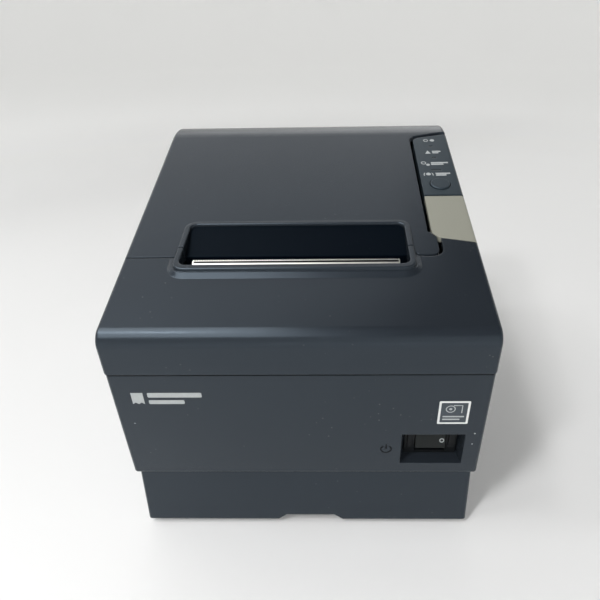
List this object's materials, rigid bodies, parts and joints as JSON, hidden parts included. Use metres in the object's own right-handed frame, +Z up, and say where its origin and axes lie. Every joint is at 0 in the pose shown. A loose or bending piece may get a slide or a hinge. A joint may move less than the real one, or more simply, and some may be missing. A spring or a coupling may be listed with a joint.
{
  "type": "receipt printer",
  "caption": "Desktop thermal receipt printer with a sloped hinged lid, sliding front cover, press lever, feed button, power rocker and internal print and cutter mechanism.",
  "frame": {"origin": "middle of the footprint on the table, at the underside of the feet", "axes": "+Z up, -Y towards the front with the power switch, +X to the right seen from the front"},
  "size_m": [0.145, 0.195, 0.148],
  "materials": {
    "case_plastic": "fine-textured moulded plastic, charcoal with a blue cast",
    "panel_plastic": "smooth satin moulded plastic, charcoal",
    "inner_plastic": "matt moulded plastic, near black navy",
    "light_plastic": "natural moulded plastic",
    "black_plastic": "matt black plastic",
    "black_gloss": "satin black plastic",
    "lever_plastic": "satin moulded plastic, pale grey beige",
    "lens_plastic": "smoked translucent plastic, unlit",
    "rubber": "matt rubber",
    "platen_rubber": "ground silicone rubber",
    "gear_plastic": "natural acetal",
    "knob_plastic": "green moulded plastic",
    "cable_plastic": "white flat cable",
    "component_plastic": "dark moulded parts",
    "switch_plastic": "red moulded plastic",
    "circuit_board": "green solder mask",
    "brass": "machined",
    "steel": "ground steel",
    "zinc_steel": "zinc-plated sheet",
    "screw_steel": "plated steel",
    "socket_metal": "nickel-plated shell",
    "aluminium": "extruded",
    "head_ceramic": "glazed ceramic strip"
  },
  "bodies": {
    "chassis": {"base_pan": "case_plastic", "main_case": "case_plastic", "control_panel": "panel_plastic", "paper_bucket": "inner_plastic", "near_end_bracket": "inner_plastic", "paper_sensor": "black_plastic", "status_lenses": "lens_plastic", "rubber_feet": "rubber", "idler_post": "steel", "feed_motor": "zinc_steel", "mechanism_frame": "zinc_steel", "side_plates": "zinc_steel", "head_pivot_pin": "steel", "head_springs": "steel", "cutter_frame": "zinc_steel", "cutter_motor": "zinc_steel", "hinge_pins": "steel", "lever_pin": "steel", "switch_housing": "black_plastic", "switch_pivot": "steel", "case_screws": "screw_steel", "switch_hatch": "case_plastic", "main_board": "circuit_board", "board_components": "component_plastic", "setting_switches": "switch_plastic", "interface_board": "circuit_board", "interface_plate": "zinc_steel", "interface_screws": "screw_steel", "power_inlet": "black_plastic", "drawer_socket": "black_plastic", "usb_socket": "socket_metal", "network_socket": "socket_metal", "head_cable": "cable_plastic", "panel_board": "circuit_board"},
    "lid": {"paper_cover": "case_plastic", "exit_guide": "inner_plastic", "platen_arms": "inner_plastic", "lid_liner": "inner_plastic", "fixed_blade": "steel", "platen_bushes": "gear_plastic"},
    "platen": {"platen_roller": "platen_rubber", "platen_shaft": "steel", "platen_gear": "gear_plastic"},
    "idler": {"idler_gear": "gear_plastic"},
    "feed_pinion": {"motor_pinion": "brass"},
    "print_head": {"thermal_head": "head_ceramic", "head_heat_sink": "aluminium"},
    "latch": {"latch_shaft": "steel", "latch_hooks": "zinc_steel"},
    "lever": {"open_lever": "lever_plastic"},
    "blade": {"moving_blade": "steel"},
    "blade_pinion": {"cutter_pinion": "gear_plastic"},
    "blade_knob": {"cutter_knob": "knob_plastic"},
    "sliding_cover": {"front_cover": "case_plastic", "tear_bar": "steel"},
    "button": {"feed_button": "panel_plastic"},
    "rocker": {"power_rocker": "black_gloss"},
    "near_end": {"near_end_lever": "light_plastic"}
  },
  "joints": [
    {"name": "lid_hinge", "type": "hinge", "parent": "chassis", "child": "lid", "pos_m": [0, 0.0905, 0.09415], "axis": [-1, 0, 0], "range_deg": [0, 90]},
    {"name": "platen_spin", "type": "hinge", "parent": "lid", "child": "platen", "pos_m": [-0.00275, -0.041, 0.097], "axis": [1, 0, 0], "continuous": true},
    {"name": "idler_spin", "type": "hinge", "parent": "chassis", "child": "idler", "pos_m": [-0.061, -0.041, 0.0796], "axis": [1, 0, 0], "continuous": true},
    {"name": "motor_spin", "type": "hinge", "parent": "chassis", "child": "feed_pinion", "pos_m": [-0.061, -0.03124, 0.06984], "axis": [1, 0, 0], "continuous": true},
    {"name": "head_rock", "type": "hinge", "parent": "chassis", "child": "print_head", "pos_m": [-0.00275, -0.056, 0.082], "axis": [1, 0, 0], "range_deg": [0, 3], "stiffness_Nm_per_rad": 4, "springref_deg": -1.15},
    {"name": "latch_turn", "type": "hinge", "parent": "chassis", "child": "latch", "pos_m": [0, -0.022, 0.086], "axis": [-1, 0, 0], "range_deg": [0, 8], "stiffness_Nm_per_rad": 0.4, "springref_deg": -8.59},
    {"name": "lever_press", "type": "hinge", "parent": "chassis", "child": "lever", "pos_m": [0.063, -0.017, 0.1215], "axis": [1, 0, 0], "range_deg": [0, 8]},
    {"name": "blade_slide", "type": "slide", "parent": "chassis", "child": "blade", "axis": [0, 1, 0], "range_m": [0, 0.008]},
    {"name": "blade_pinion_turn", "type": "hinge", "parent": "chassis", "child": "blade_pinion", "pos_m": [0.0468, -0.068, 0.107], "axis": [0, 0, 1], "range_deg": [-95.8, 0]},
    {"name": "blade_knob_turn", "type": "hinge", "parent": "chassis", "child": "blade_knob", "pos_m": [0.0588, -0.068, 0.107], "axis": [0, 0, 1], "range_deg": [0, 64]},
    {"name": "front_slide", "type": "slide", "parent": "chassis", "child": "sliding_cover", "axis": [0, -1, 0], "range_m": [0, 0.02]},
    {"name": "feed_press", "type": "slide", "parent": "chassis", "child": "button", "axis": [0, 0.284, -0.9588], "range_m": [0, 0.0008], "stiffness_N_per_m": 900, "springref_m": -0.0008},
    {"name": "power_rock", "type": "hinge", "parent": "chassis", "child": "rocker", "pos_m": [0.0525, -0.0797, 0.04561], "axis": [-1, 0, 0], "range_deg": [0, 14]},
    {"name": "near_end_swing", "type": "hinge", "parent": "chassis", "child": "near_end", "pos_m": [-0.0515, 0.024, 0.075], "axis": [0, 0, 1], "range_deg": [0, 6], "stiffness_Nm_per_rad": 0.01, "springref_deg": -5.73}
  ],
  "couplings": [
    {"joint": "idler_spin", "follows": "platen_spin", "ratio": -0.93333},
    {"joint": "motor_spin", "follows": "platen_spin", "ratio": 1.75},
    {"joint": "lever_press", "follows": "latch_turn", "ratio": 1},
    {"joint": "blade_pinion_turn", "follows": "blade_slide", "rad_per_m": -208.33},
    {"joint": "blade_knob_turn", "follows": "blade_slide", "rad_per_m": 138.89}
  ]
}
